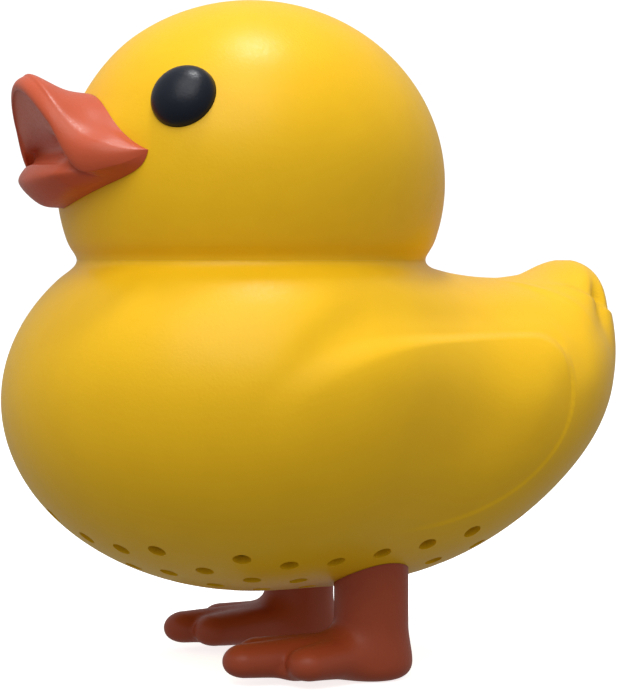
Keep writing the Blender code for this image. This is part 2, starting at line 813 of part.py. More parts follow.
def bill_section(place):
    """The bill cut at a place from -1, its right corner, to 1, its left corner: a loop of points."""
    away = abs(place)
    x = BILL_HALF_WIDTH * place
    bow = math.sqrt(1 - away**2)
    shut = float(smooth_step(0.55, 0.88, away))
    corner_y = head_front(BILL_HALF_WIDTH, BILL_CORNER_Z, 0)
    rim_y = corner_y - BILL_REACH * bow
    lower_rim_y = corner_y - (BILL_REACH - 2.7) * bow
    root_top = BILL_CORNER_Z + 21.7 * (1 - away**2) * (1 - 0.5 * away**3)
    root_bottom = 168.5 + 12.5 * away**1.4 + 3 * float(smooth_step(0.9, 1, away))
    edge = 206 - 45 * away**2 * (1 - 0.39 * away**4)
    edge = max(edge, root_bottom + 1.5)
    lip = 8.7 * (1 - away**4) + 1.5
    lower_lip = 182 - 1.5 * away
    throat = (rim_y + 1.5) * shut + (1 - shut) * -97
    throat_z = 188 + (edge - 0.8 - 188) * shut
    lower_top = (edge - 1.6) * shut + lower_lip * (1 - shut)
    lower_mid = (lower_top + root_bottom) / 2
    front = [
        (head_front(x, root_top, 0.5), root_top),
        ((head_front(x, root_top, 0.5) * 0.5 + rim_y * 0.5) + 1, (root_top + edge + lip) / 2 - 1.2 * bow),
        (rim_y + 4 * bow, edge + lip),
        (rim_y, edge + lip / 2),
        (rim_y + 2 * bow, edge),
        ((rim_y + throat) / 2, (edge + throat_z) / 2 + 1.5 * (1 - shut)),
        (throat, throat_z),
        ((lower_rim_y + throat) / 2, (lower_top + throat_z) / 2 - 1.5 * (1 - shut)),
        (lower_rim_y + 2 * bow, lower_top),
        (lower_rim_y, lower_mid + 1),
        (lower_rim_y * 0.55 + head_front(x, root_bottom, 0.5) * 0.45, root_bottom + 1.2 * bow),
        (head_front(x, root_bottom, 0.5), root_bottom),
    ]
    back = []
    for share in (0.25, 0.5, 0.75):
        z = root_bottom + (root_top - root_bottom) * share
        back.append((head_front(x, z, 0.5), z))
    return [(x, y, z) for y, z in front + back]


def make_beak():
    points = []
    for number in range(BILL_SECTIONS + 1):
        angle = math.radians(-80 + 160 * number / BILL_SECTIONS)
        points += bill_section(math.sin(angle))
    around = len(points) // (BILL_SECTIONS + 1)
    beak = solid("beak", points, ring_of_faces(BILL_SECTIONS + 1, around, True), orange_bill())
    for side, sign in SIDES:
        join(beak, along_y(f"{side}_stud", STUD_RADIUS, sign * STUD_X, -95.5, -77.5, 12))
        seat = (sign * STUD_X, STUD_SEAT_Y + GAP, STUD_Z)
        hex_nut(f"{side}_beak_nut", STUD_RADIUS + GAP, 5.5, seat, (0, 1, 0), 4)


def main():
    clear_scene()
    make_body_shell()
    make_neck_ring()
    make_neck_screws()
    make_floats()
    make_legs()
    make_leg_fixings()
    make_basket()
    make_sleeve()
    make_seal()
    make_head_base()
    make_head_screws()
    make_head_shell()
    make_eyes()
    make_beak()


main()
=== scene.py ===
"""Looks for the floating chlorine dispenser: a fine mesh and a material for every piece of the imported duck.

The skin is a blend of ellipsoids with relief for the wings and the tail. The hidden pieces are drawn round
the neck's axis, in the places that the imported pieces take. Lengths are in millimetres until a mesh is made.
"""

import json
import math
from functools import partial

import bmesh
import bpy
import numpy as np
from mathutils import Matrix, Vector


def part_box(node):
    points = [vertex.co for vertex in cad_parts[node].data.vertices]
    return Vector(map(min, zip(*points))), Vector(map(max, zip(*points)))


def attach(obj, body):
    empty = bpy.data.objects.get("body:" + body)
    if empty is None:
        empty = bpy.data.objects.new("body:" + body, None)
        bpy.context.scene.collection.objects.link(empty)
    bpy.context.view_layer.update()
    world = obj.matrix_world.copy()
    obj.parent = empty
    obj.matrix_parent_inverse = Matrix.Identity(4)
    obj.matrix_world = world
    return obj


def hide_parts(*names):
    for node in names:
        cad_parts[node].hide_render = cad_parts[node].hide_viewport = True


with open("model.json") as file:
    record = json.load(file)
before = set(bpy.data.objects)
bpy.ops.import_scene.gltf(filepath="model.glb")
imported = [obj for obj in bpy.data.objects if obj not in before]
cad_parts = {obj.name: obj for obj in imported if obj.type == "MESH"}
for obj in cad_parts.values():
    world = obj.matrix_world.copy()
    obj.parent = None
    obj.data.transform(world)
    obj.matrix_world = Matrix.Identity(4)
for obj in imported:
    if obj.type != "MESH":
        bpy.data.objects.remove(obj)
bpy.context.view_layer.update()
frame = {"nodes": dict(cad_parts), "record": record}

MM = 0.001
SIDES = (("left", 1), ("right", -1))

# The skin: ellipsoids (centre, radii) that flow into each other.
HEAD_CENTRE = (0, -23.8, 176.9)
HEAD_RADII = (70.8, 70.8, 66.4)
CHEST_CENTRE = (0, -23.1, 98)
CHEST_RADII = (92.85, 91.88, 69.5)
CHEST_REAR_RADIUS = 85
RUMP_CENTRE = (0, 57.37, 90.7)
RUMP_RADII = (72, 64.9, 40)
RUMP_TILT = 0.67
NECK_BLEND = 5.5
CREASE_DEPTH = 1.2  # the soft groove where the head meets the body
CREASE_WIDTH = 3.6
RUMP_BLEND = 36.5
WALL = 3
SKIN_HEART = (0, 12, 100)  # the whole body can be seen from here
FOREHEAD_FLAT = 1.1

# The tail: a middle feather, and a lower one on each side that stands a little proud of it.
TAIL_CENTRE = (0, 102.1, 136.3)
TAIL_RADII = (22, 11, 5)
TAIL_TILT = 1.25
TAIL_BLEND = 24.5
FEATHER_Y = 90
FEATHER_EDGE_Z = 140.6
FEATHER_FALL = 0.62  # how steeply the side feathers' edge falls behind FEATHER_Y
FEATHER_STEP = 1.1
FEATHER_RIDGE = 0.7
FEATHER_RIDGE_PLACE = (19, 73)  # where the ridge starts beside the middle; it runs outwards and back
FEATHER_RIDGE_SLANT = 0.62

# The wing: a soft ledge on top, and a crisp edge that turns down behind it and forward under it.
WING_TOP_Z = 122
WING_SLOPE_Y = 19  # the ledge falls forwards from here
WING_SLOPE_LENGTH = 60
WING_SLOPE_FALL = 17
WING_ARC_Y = 5
WING_ARC_Z = 105
WING_ARC_LENGTH = 68
WING_ARC_DROP = 49
WING_LEDGE = 2.3
WING_COVE = 0.8
WING_FRONT_COVE = 1.5  # the flank is hollowed a little more in front of the wing
WING_EDGE = 0.5
WING_EDGE_WIDTH = 0.7

# The neck: everything there turns about one upright axis.
NECK_Y = HEAD_CENTRE[1]
PARTING_Z = 149
SEAM = 0.015  # half of the gap between the head and the body
DECK_BOTTOM_Z = 142.5
DECK_TOP_Z = 145.5
DECK_BORE = 47
DECK_RECESS = 61
THREAD_LEAD = 27
NECK_SCREW_CIRCLE = 54.6
HEAD_SCREW_CIRCLE = 57.4
SCREW_HOLE = 1.9  # radius
NECK_SCREW_SEAT_Z = 147.4
HEAD_SCREW_SEAT_Z = 151.2

# The basket, and the sleeve that turns round it.
BASKET_BORE = 39.5
BASKET_RADIUS = 41.3
BASKET_RIM_RADIUS = 45.6
BASKET_BOTTOM_Z = 64
BASKET_FLOOR_Z = 66.5
BASKET_TOP_Z = 150.9
SLEEVE_BORE = 41.7
SLEEVE_RADIUS = 43.3
SLEEVE_TOP_Z = 112
SLOT_COUNT = 8
SLOT_HALF_WIDTH = 5
SLOT_HEIGHTS = (72, 104)
EASED = 0.5  # the slant on a moulded corner

# The vents: a triangular grid over the belly.
VENT_DIAMETER = 6.5
VENT_PITCH = 17.1
VENT_FRONT_Y = -98.4
VENT_FIELD_Y = -15
VENT_FIELD_RADII = (70, 88, 107)  # sideways, forwards, backwards
VENT_LEG_CLEARANCE = 18

# The legs.
LEG_X = 38
LEG_Y = 8.5
LEG_RADIUS = 13.3
SPIGOT_RADIUS = 7
SPIGOT_TOP_Z = 57.5
SEAT_Z = 48
TOES = ((-14.3, -46.2), (-1.4, -55.1), (15.2, -35.3))  # tips from the leg's axis: inner, middle, outer
TOE_WIDE = (10, 8)  # half sizes at the leg and at the tip
TOE_TALL = (9, 6.2)
TOE_MIDDLE = (8.2, 8.4)  # height of the toe's middle line
TOE_GROOVE = 2.5
WEB_BLEND = 4
FOOT_BLEND = 7
HEEL_FLARE = 0.9
SOLE_ROUNDING = 6
LEG_CUT_Z = 62  # the leg is drawn this far up into the body, and then cut by the skin
LEG_GRID = 0.8  # the mesh's step

# The eyes and the bill.
EYE_TURN = 50.5
EYE_RISE = 27.7
EYE_TILT = 26.2
EYE_RADIUS = 11.6
EYE_HEIGHT = 7.2
EYE_FOOT = 0.9  # how far below the skin the dome starts
EYE_POCKET = 1.6
BILL_HALF_WIDTH = 47
BILL_CORNER_Z = 186.3
BILL_REACH = 35.5
BILL_GAP = 0.3  # between the bill's root and the head
BILL_ROOT_RISE = 21.7  # above the corners, in the middle
BILL_ROOT_DROP = 18.9  # below the corners, in the middle
BILL_RIM_Z = 206  # the upper rim
BILL_RIM_FALL = 45
BILL_VALLEY = 1.7
BILL_LIP = 6.9
MOUTH_BACK_Y = -97
MOUTH_BACK_Z = 188
LOWER_LIP_Z = 182
LOWER_LIP_SETBACK = 2.7
STUD_X = 14
STUD_Z = 190

# The camera, in metres and degrees.
CAMERA_AZIMUTH = 70  # from the front towards the duck's left side
CAMERA_DISTANCE = 0.79
CAMERA_AIM_Y = -0.0015
CAMERA_HEIGHT = 0.1498
CAMERA_DROP = 2.39  # how far it looks down
CAMERA_LENS = 110.6

# The light: a sky that grows brighter upwards, a small lamp overhead and a large one to the front
# and left. The backdrop and the floor are white. Lengths are in metres.
SKY_TOP = 0.55
SKY_BOTTOM = 0.27
SKY_LOW = -0.6  # the sky is evenly dim below this height of a direction, and evenly bright above the next
SKY_HIGH = 0.55
LAMP_AIM = (0, 0, 0.12)
OVERHEAD_PLACE = (0, 0, 1.3)
OVERHEAD_SIZE = 0.2
OVERHEAD_POWER = 5.5
FRONT_PLACE = (0.72, -0.55, 1.3)
FRONT_SIZE = 1.1
FRONT_POWER = 11.5
FLOOR_SIZE = 8
FLOOR_GREY = 0.9
FLOOR_GLOW = 0.8
BACKDROP_RADIUS = 4
BACKDROP_GLOW = 1.1


# Materials


def new_material(name):
    made = bpy.data.materials.new(name)
    made.use_nodes = True
    return made, made.node_tree.nodes, made.node_tree.links, made.node_tree.nodes["Principled BSDF"]


def noise(nodes, links, size, detail=2.0, roughness=0.5):
    """Noise whose features are about size millimetres across."""
    place = nodes.get("Place") or nodes.new("ShaderNodeTexCoord")
    place.name = "Place"
    texture = nodes.new("ShaderNodeTexNoise")
    texture.inputs["Scale"].default_value = 1000 / size
    texture.inputs["Detail"].default_value = detail
    texture.inputs["Roughness"].default_value = roughness
    links.new(place.outputs["Object"], texture.inputs["Vector"])
    return texture


def spread(nodes, links, texture, low, high):
    """The noise's middle range as a value from low to high."""
    span = nodes.new("ShaderNodeMapRange")
    span.inputs["From Min"].default_value = 0.35
    span.inputs["From Max"].default_value = 0.65
    span.inputs["To Min"].default_value = low
    span.inputs["To Max"].default_value = high
    links.new(texture.outputs["Fac"], span.inputs["Value"])
    return span.outputs["Result"]


def moulded(name, colour, shade, gloss, grain_size, grain_depth, patch=18, specular=0.5):
    """Moulded plastic: a grained surface, whose colour and gloss drift a little in soft patches."""
    made, nodes, links, shader = new_material(name)
    shader.inputs["Specular IOR Level"].default_value = specular
    patches = noise(nodes, links, patch)
    mix = nodes.new("ShaderNodeMix")
    mix.data_type = "RGBA"
    mix.inputs["A"].default_value = (*colour, 1)
    mix.inputs["B"].default_value = (*shade, 1)
    links.new(spread(nodes, links, patches, 0, 1), mix.inputs["Factor"])
    links.new(mix.outputs["Result"], shader.inputs["Base Color"])
    grain = noise(nodes, links, grain_size, 3.0, 0.6)
    links.new(spread(nodes, links, grain, gloss - 0.05, gloss + 0.07), shader.inputs["Roughness"])
    bump = nodes.new("ShaderNodeBump")
    bump.inputs["Strength"].default_value = 1.0
    bump.inputs["Distance"].default_value = grain_depth * MM
    links.new(grain.outputs["Fac"], bump.inputs["Height"])
    links.new(bump.outputs["Normal"], shader.inputs["Normal"])
    return made


def yellow_shell():
    return moulded(
        "yellow_shell", (0.93, 0.535, 0.010), (0.91, 0.52, 0.009),
        gloss=0.35, grain_size=1.0, grain_depth=0.07, patch=14, specular=0.21,
    )


def orange_bill():
    return moulded(
        "orange_bill", (0.56, 0.092, 0.034), (0.53, 0.086, 0.031),
        gloss=0.36, grain_size=0.9, grain_depth=0.06, specular=0.3,
    )


def brown_leg():
    return moulded(
        "brown_leg", (0.38, 0.064, 0.021), (0.36, 0.06, 0.02),
        gloss=0.42, grain_size=0.9, grain_depth=0.06, specular=0.3,
    )


def dark_eye():
    return moulded(
        "dark_eye", (0.003, 0.006, 0.014), (0.004, 0.007, 0.016),
        gloss=0.34, grain_size=0.8, grain_depth=0.05, specular=0.26,
    )


def white_plastic():
    return moulded(
        "white_plastic", (0.78, 0.78, 0.75), (0.74, 0.74, 0.71),
        gloss=0.42, grain_size=1.2, grain_depth=0.02,
    )


def blue_plastic():
    return moulded(
        "blue_plastic", (0.035, 0.17, 0.48), (0.03, 0.15, 0.43),
        gloss=0.4, grain_size=1.2, grain_depth=0.02,
    )


def black_rubber():
    return moulded(
        "black_rubber", (0.018, 0.018, 0.018), (0.028, 0.028, 0.028),
        gloss=0.68, grain_size=0.7, grain_depth=0.05,
    )


def grey_foam():
    """Closed-cell foam: small round cells, matt."""
    made, nodes, links, shader = new_material("grey_foam")
    place = nodes.new("ShaderNodeTexCoord")
    cells = nodes.new("ShaderNodeTexVoronoi")
    cells.inputs["Scale"].default_value = 1000 / 1.6
    links.new(place.outputs["Object"], cells.inputs["Vector"])
    ramp = nodes.new("ShaderNodeValToRGB")
    ramp.color_ramp.elements[0].color = (0.42, 0.43, 0.45, 1)
    ramp.color_ramp.elements[1].color = (0.54, 0.55, 0.57, 1)
    links.new(cells.outputs["Distance"], ramp.inputs["Fac"])
    links.new(ramp.outputs["Color"], shader.inputs["Base Color"])
    shader.inputs["Roughness"].default_value = 0.88
    bump = nodes.new("ShaderNodeBump")
    bump.inputs["Distance"].default_value = 0.25 * MM
    links.new(cells.outputs["Distance"], bump.inputs["Height"])
    links.new(bump.outputs["Normal"], shader.inputs["Normal"])
    return made


def steel():
    """Stainless steel with fine turning marks."""
    made, nodes, links, shader = new_material("steel")
    shader.inputs["Metallic"].default_value = 1
    shader.inputs["Base Color"].default_value = (0.62, 0.62, 0.63, 1)
    marks = noise(nodes, links, 0.5, 4.0, 0.7)
    links.new(spread(nodes, links, marks, 0.22, 0.36), shader.inputs["Roughness"])
    bump = nodes.new("ShaderNodeBump")
    bump.inputs["Distance"].default_value = 0.01 * MM
    links.new(marks.outputs["Fac"], bump.inputs["Height"])
    links.new(bump.outputs["Normal"], shader.inputs["Normal"])
    return made


LOOKS = {
    make.__name__: make()
    for make in (
        yellow_shell, orange_bill, brown_leg, dark_eye,
        white_plastic, blue_plastic, black_rubber, grey_foam, steel,
    )
}


# Meshes


def mesh_object(name, points, faces):
    """A mesh object from points in millimetres, closed and facing outwards."""
    mesh = bpy.data.meshes.new(name)
    mesh.from_pydata((np.array(points, float) * MM).tolist(), [], faces)
    work = bmesh.new()
    work.from_mesh(mesh)
    bmesh.ops.remove_doubles(work, verts=work.verts, dist=0.001 * MM)
    loose = [edge for edge in work.edges if not edge.link_faces]
    bmesh.ops.delete(work, geom=loose, context="EDGES")
    bmesh.ops.recalc_face_normals(work, faces=work.faces)
    work.to_mesh(mesh)
    work.free()
    thing = bpy.data.objects.new(name, mesh)
    bpy.context.scene.collection.objects.link(thing)
    return thing


def combine(thing, tool, operation):
    """Cuts thing with tool, or joins tool to it, and removes the tool."""
    step = thing.modifiers.new("combine", "BOOLEAN")
    step.operation = operation
    step.solver = "MANIFOLD"
    step.object = tool
    graph = bpy.context.evaluated_depsgraph_get()
    result = bpy.data.meshes.new_from_object(thing.evaluated_get(graph))
    thing.modifiers.clear()
    thing.data = result
    bpy.data.objects.remove(tool, do_unlink=True)


def cut(thing, tool):
    combine(thing, tool, "DIFFERENCE")


def join(thing, tool):
    combine(thing, tool, "UNION")


def slot_of(node):
    """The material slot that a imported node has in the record."""
    rows = [row for row in frame["record"]["subparts"] if row["node"] == node]
    return rows[0]["material_slot"]


def finish_piece(thing, node, bevel=0.0, sharp=32):
    """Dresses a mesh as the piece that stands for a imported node."""
    slot = slot_of(node)
    thing.data.materials.clear()
    thing.data.materials.append(LOOKS[slot])
    thing.data.shade_smooth()
    thing.data.set_sharp_from_angle(angle=math.radians(sharp))
    if bevel:
        edge = thing.modifiers.new("edge", "BEVEL")
        edge.width = bevel * MM
        edge.segments = 2
        edge.limit_method = "ANGLE"
        edge.angle_limit = math.radians(sharp)
    for body, members in frame["record"]["behaviour"]["bodies"].items():
        if node in members:
            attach(thing, body)
    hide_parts(node)


def ring_of_faces(rows, around, closed_ends):
    """Faces over rows of points, each row a loop of the same count."""
    faces = []
    for row in range(rows - 1):
        for step in range(around):
            after = (step + 1) % around
            low = row * around
            high = low + around
            faces.append((low + step, low + after, high + after, high + step))
    if closed_ends:
        faces.append(tuple(range(around)))
        faces.append(tuple((rows - 1) * around + step for step in range(around)))
    return faces


def turn_from_up(axis):
    """The turn that takes +Z to an axis."""
    return Vector((0, 0, 1)).rotation_difference(Vector(axis)).to_matrix()


def turned(name, profile, centre=(0, NECK_Y, 0), axis=(0, 0, 1), segments=128, start=0, sweep=360):
    """Turns a closed profile of (radius, height) about an axis through centre."""
    basis = turn_from_up(axis)
    whole = sweep == 360
    rows = segments if whole else segments + 1
    points = []
    for row in range(rows):
        angle = math.radians(start + sweep * row / segments)
        for radius, height in profile:
            local = Vector((radius * math.cos(angle), radius * math.sin(angle), height))
            points.append(Vector(centre) + basis @ local)
    count = len(profile)
    faces = ring_of_faces(rows, count, not whole)
    if whole:
        last = (rows - 1) * count
        for step in range(count):
            after = (step + 1) % count
            faces.append((last + step, last + after, after, step))
    return mesh_object(name, points, faces)


def rod(name, radius, start, end, segments=32):
    """A cylinder from one point to another."""
    axis = Vector(end) - Vector(start)
    profile = [(0, 0), (radius, 0), (radius, axis.length), (0, axis.length)]
    return turned(name, profile, start, axis, segments)


def block(name, low, high):
    corners = ((low[0], low[1]), (high[0], low[1]), (high[0], high[1]), (low[0], high[1]))
    points = [(x, y, z) for z in (low[2], high[2]) for x, y in corners]
    return mesh_object(name, points, ring_of_faces(2, 4, True))


def merged(name, tools):
    """One tool from several that don't touch each other."""
    points = []
    faces = []
    for tool in tools:
        first = len(points)
        points += [vertex.co / MM for vertex in tool.data.vertices]
        faces += [tuple(first + index for index in face.vertices) for face in tool.data.polygons]
        bpy.data.objects.remove(tool, do_unlink=True)
    return mesh_object(name, points, faces)


# Fields: below zero inside a shape, and about the distance in millimetres near its surface.


def ellipsoid_field(points, centre, radii, tilt=0.0, rear_radius=None):
    local = points - np.array(centre, float)
    if tilt:
        along = local[..., 1] * math.cos(tilt) + local[..., 2] * math.sin(tilt)
        across = local[..., 2] * math.cos(tilt) - local[..., 1] * math.sin(tilt)
        local = np.stack([local[..., 0], along, across], -1)
    sizes = np.broadcast_to(np.array(radii, float), local.shape).copy()
    if rear_radius:
        sizes[..., 1] = np.where(local[..., 1] > 0, rear_radius, radii[1])
    reach = np.linalg.norm(local / sizes, axis=-1)
    slope = np.linalg.norm(local / sizes**2, axis=-1)
    return reach * (reach - 1) / np.maximum(slope, 1e-9)


def blended(first, second, width):
    """The union of two fields, with a fillet about as wide as width."""
    near = np.clip(width - np.abs(first - second), 0, None) / width
    return np.minimum(first, second) - near * near * width / 4


def smooth_step(low, high, value):
    share = np.clip((value - low) / (high - low), 0, 1)
    return share * share * (3 - 2 * share)


def hump(value, middle, width):
    return np.exp(-(((value - middle) / width) ** 2))


def inside_wing_arc(y, z):
    """How far a place in side view is inside the edge that runs down behind the wing and then under it."""
    back = np.clip(y - WING_ARC_Y, 0, None) / WING_ARC_LENGTH
    down = np.clip(WING_ARC_Z - z, 0, None) / WING_ARC_DROP
    reach = np.hypot(back, down)
    slope = np.hypot(back / WING_ARC_LENGTH, down / WING_ARC_DROP) / np.maximum(reach, 1e-6)
    return (1 - reach) / np.maximum(slope, 1 / WING_ARC_LENGTH)


def wing_relief(points):
    """How far the wing stands out of the flank."""
    y = points[..., 1]
    before = np.clip(WING_SLOPE_Y - y, 0, None) / WING_SLOPE_LENGTH
    under_top = WING_TOP_Z - WING_SLOPE_FALL * before**3 - points[..., 2]
    inside_arc = inside_wing_arc(y, points[..., 2])
    inside = blended(under_top, inside_arc, 12)
    soft = 2.2 + 5 * smooth_step(25, -45, y)
    ledge = WING_LEDGE * smooth_step(-soft, soft, inside) * (1 - smooth_step(4, 42, under_top))
    ledge *= 1 - smooth_step(4, 24, under_top) * (1 - smooth_step(0, 14, inside_arc))
    ledge *= smooth_step(-55, 5, y)
    front = hump(y, -12, 24)
    cove = (WING_COVE + WING_FRONT_COVE * front) * hump(inside, -7 - 3 * front, 5 + 4 * front)
    cove *= np.maximum(smooth_step(-45, 5, y), front) * (1 - smooth_step(0, 20, under_top))
    edge = smooth_step(-WING_EDGE_WIDTH, WING_EDGE_WIDTH, inside_arc) * (1 - smooth_step(2, 24, inside_arc))
    edge *= WING_EDGE * smooth_step(0, 30, y) * smooth_step(-6, 4, under_top)
    flank = smooth_step(20, 40, np.abs(points[..., 0]))
    return (ledge - cove - edge) * flank


def forehead_relief(points):
    """The forehead is a little flatter than the ball of the head."""
    front = smooth_step(-66, -88, points[..., 1])
    return -FOREHEAD_FLAT * front * smooth_step(192, 206, points[..., 2])


def feather_relief(points):
    """The tail's relief: a step down above the side feathers' edge, and a ridge in front of them."""
    across = np.abs(points[..., 0])
    y = points[..., 1]
    z = points[..., 2]
    above = z - FEATHER_EDGE_Z + FEATHER_FALL * np.clip(y - FEATHER_Y, 0, None)
    step = smooth_step(-0.9, 0.9, above) * np.exp(-(np.clip(above, 0, None) / 8) ** 2)
    step *= smooth_step(FEATHER_Y - 9, FEATHER_Y + 5, y)
    ridge_x, ridge_y = FEATHER_RIDGE_PLACE
    ridge = hump(y, ridge_y + FEATHER_RIDGE_SLANT * (across - ridge_x), 2.6) * smooth_step(12, 22, across)
    ridge *= 1 - smooth_step(36, 52, across)
    upper = smooth_step(112, 126, z)
    return upper * (FEATHER_RIDGE * ridge - FEATHER_STEP * step)


def skin_field(points, relief=True):
    """Below zero inside the duck's skin, before the wings are raised."""
    chest = ellipsoid_field(points, CHEST_CENTRE, CHEST_RADII, rear_radius=CHEST_REAR_RADIUS)
    rump = ellipsoid_field(points, RUMP_CENTRE, RUMP_RADII, RUMP_TILT)
    head = ellipsoid_field(points, HEAD_CENTRE, HEAD_RADII)
    body = blended(chest, rump, RUMP_BLEND)
    if relief:
        tail = ellipsoid_field(points, TAIL_CENTRE, TAIL_RADII, TAIL_TILT)
        body = blended(body, tail, TAIL_BLEND)
        head = head - forehead_relief(points)
    skin = blended(body, head, NECK_BLEND)
    if relief:
        from_axis = np.hypot(points[..., 0], points[..., 1] - NECK_Y)
        crease = CREASE_DEPTH * hump(points[..., 2], PARTING_Z, CREASE_WIDTH)
        skin = skin + crease * (1 - smooth_step(74, 84, from_axis))
    return skin


def distance_to_skin(origin, directions, offset, top_z=None, relief=True, reach=190):
    """How far each ray from origin goes before it leaves the skin moved out by offset."""
    near = np.ones(len(directions))
    far = np.full(len(directions), float(reach))
    found = np.zeros(len(directions), bool)
    for distance in np.linspace(1, reach, 64)[1:]:
        points = origin + distance * directions
        out = skin_field(points, relief) > offset
        if top_z:
            out |= points[:, 2] > top_z
        far = np.where(out & ~found, distance, far)
        found |= out
        near = np.where(found, near, distance)
    for _ in range(18):
        middle = (near + far) / 2
        points = origin + middle[:, None] * directions
        out = skin_field(points, relief) > offset
        if top_z:
            out |= points[:, 2] > top_z
        near = np.where(out, near, middle)
        far = np.where(out, middle, far)
    return near


def slope_of(field, points, small=0.02):
    """The direction in which a field grows, and how fast."""
    return np.stack(
        [field(points + small * axis) - field(points - small * axis) for axis in np.eye(3)], -1
    ) / (2 * small)


def settled(field, points, steps=4):
    """Points moved along the field's slope until they lie where it is zero."""
    for _ in range(steps):
        slope = slope_of(field, points)
        size = np.maximum((slope**2).sum(-1), 0.05)
        points = points - slope * (field(points) / size)[:, None]
    return points


def on_wing_edge(points):
    """Points near the top or the foot of the wing's crisp edge, moved onto it: the edge then runs clean."""
    place = inside_wing_arc(points[:, 1], points[:, 2])
    nearest = np.where(place > 0, WING_EDGE_WIDTH, -WING_EDGE_WIDTH)
    near = np.abs(place - nearest) < 0.5
    near &= np.abs(points[:, 0]) > 30
    near &= (points[:, 1] > WING_ARC_Y - 20) & (points[:, 2] < WING_ARC_Z + 20)
    slope = slope_of(lambda nearby: inside_wing_arc(nearby[..., 1], nearby[..., 2]), points)
    slope[:, 0] = 0
    size = np.maximum((slope**2).sum(-1), 0.2)
    return np.where(near[:, None], points + slope * ((nearest - place) / size)[:, None], points)


def with_wings(points, offset, top_z):
    """The plain skin's points, raised where the wings and the feathers are."""
    below_top = points[:, 2] < top_z - 0.5
    skin = points[below_top]

    def plain(place):
        return skin_field(place) - offset

    skin = settled(plain, on_wing_edge(skin), 2)
    slope = slope_of(plain, skin)
    slope /= np.linalg.norm(slope, axis=-1)[:, None]
    points = points.copy()
    points[below_top] = skin + slope * (wing_relief(skin) + feather_relief(skin))[:, None]
    return points


def star_surface(name, offset, divisions, top_z, relief=True):
    """The skin below top_z as a mesh: a box's grid thrown out from the body's heart."""
    directions = []
    faces = []
    for side in range(3):
        rows = divisions[(side + 1) % 3]
        columns = divisions[(side + 2) % 3]
        row_place, column_place = np.meshgrid(
            np.tan(np.linspace(-math.pi / 4, math.pi / 4, rows + 1)),
            np.tan(np.linspace(-math.pi / 4, math.pi / 4, columns + 1)),
            indexing="ij",
        )
        for sign in (-1, 1):
            first = sum(len(part) for part in directions)
            part = np.zeros((row_place.size, 3))
            part[:, side] = sign
            part[:, (side + 1) % 3] = row_place.ravel()
            part[:, (side + 2) % 3] = column_place.ravel()
            directions.append(part / np.linalg.norm(part, axis=1)[:, None])
            corner = first + (np.arange(rows)[:, None] * (columns + 1) + np.arange(columns)).ravel()
            faces += np.stack([corner, corner + 1, corner + columns + 2, corner + columns + 1], 1).tolist()
    directions = np.concatenate(directions)
    origin = np.broadcast_to(np.array(SKIN_HEART, float), directions.shape)
    reach = distance_to_skin(origin, directions, offset, top_z, relief)
    points = origin + reach[:, None] * directions
    if relief:
        points = with_wings(points, offset, top_z)
    return mesh_object(name, points, faces)


def surface_net(name, field, low, high, step):
    """A closed mesh of where the field is zero, with a point in each grid cell that the surface crosses."""
    axes = [np.arange(low[side], high[side] + step, step) for side in range(3)]
    grid = np.stack(np.meshgrid(*axes, indexing="ij"), -1)
    inside = field(grid.reshape(-1, 3)).reshape(grid.shape[:3]) < 0
    cells = tuple(size - 1 for size in inside.shape)
    count = np.zeros(cells, int)
    for i in (0, 1):
        for j in (0, 1):
            for k in (0, 1):
                count += inside[i:i + cells[0], j:j + cells[1], k:k + cells[2]]
    crossed = (count > 0) & (count < 8)
    index = np.full(cells, -1)
    index[crossed] = np.arange(crossed.sum())
    points = np.stack([axes[side][place] for side, place in enumerate(np.nonzero(crossed))], -1) + step / 2
    faces = []
    for axis in range(3):
        others = [side for side in range(3) if side != axis]
        ahead = np.moveaxis(inside, axis, 0)
        change = np.moveaxis(ahead[1:] != ahead[:-1], 0, axis)
        for place in np.argwhere(change):
            quad = []
            for first, second in ((-1, -1), (0, -1), (0, 0), (-1, 0)):
                cell = place.copy()
                cell[others[0]] += first
                cell[others[1]] += second
                quad.append(int(index[tuple(cell)]))
            faces.append(quad)
    return mesh_object(name, settled(field, points), faces)


# The shells


def vent_centres():
    """Where the vents are, on the grid and clear of the legs."""
    row_gap = VENT_PITCH * math.sqrt(3) / 2
    sideways, forwards, backwards = VENT_FIELD_RADII
    centres = []
    for row in range(-4, 5):
        for step in range(12):
            x = row * row_gap
            y = VENT_FRONT_Y + VENT_PITCH * (step + 0.5 * (row % 2))
            lengthways = backwards if y > VENT_FIELD_Y else forwards
            in_field = math.hypot(x / sideways, (y - VENT_FIELD_Y) / lengthways) < 1
            if in_field and math.hypot(abs(x) - LEG_X, y - LEG_Y) > VENT_LEG_CLEARANCE:
                centres.append((x, y))
    return centres


def belly_place(x, y):
    """The point of the belly's skin under a place, and the way it faces."""
    low = 10.0
    high = CHEST_CENTRE[2]
    for _ in range(24):
        middle = (low + high) / 2
        if float(skin_field(np.array((x, y, middle)))) > 0:
            low = middle
        else:
            high = middle
    point = np.array((x, y, low))
    return Vector(point), Vector(slope_of(skin_field, point)).normalized()


def node_centre(node):
    """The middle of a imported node's box, in millimetres."""
    low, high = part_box(node)
    return (low + high) / 2 / MM


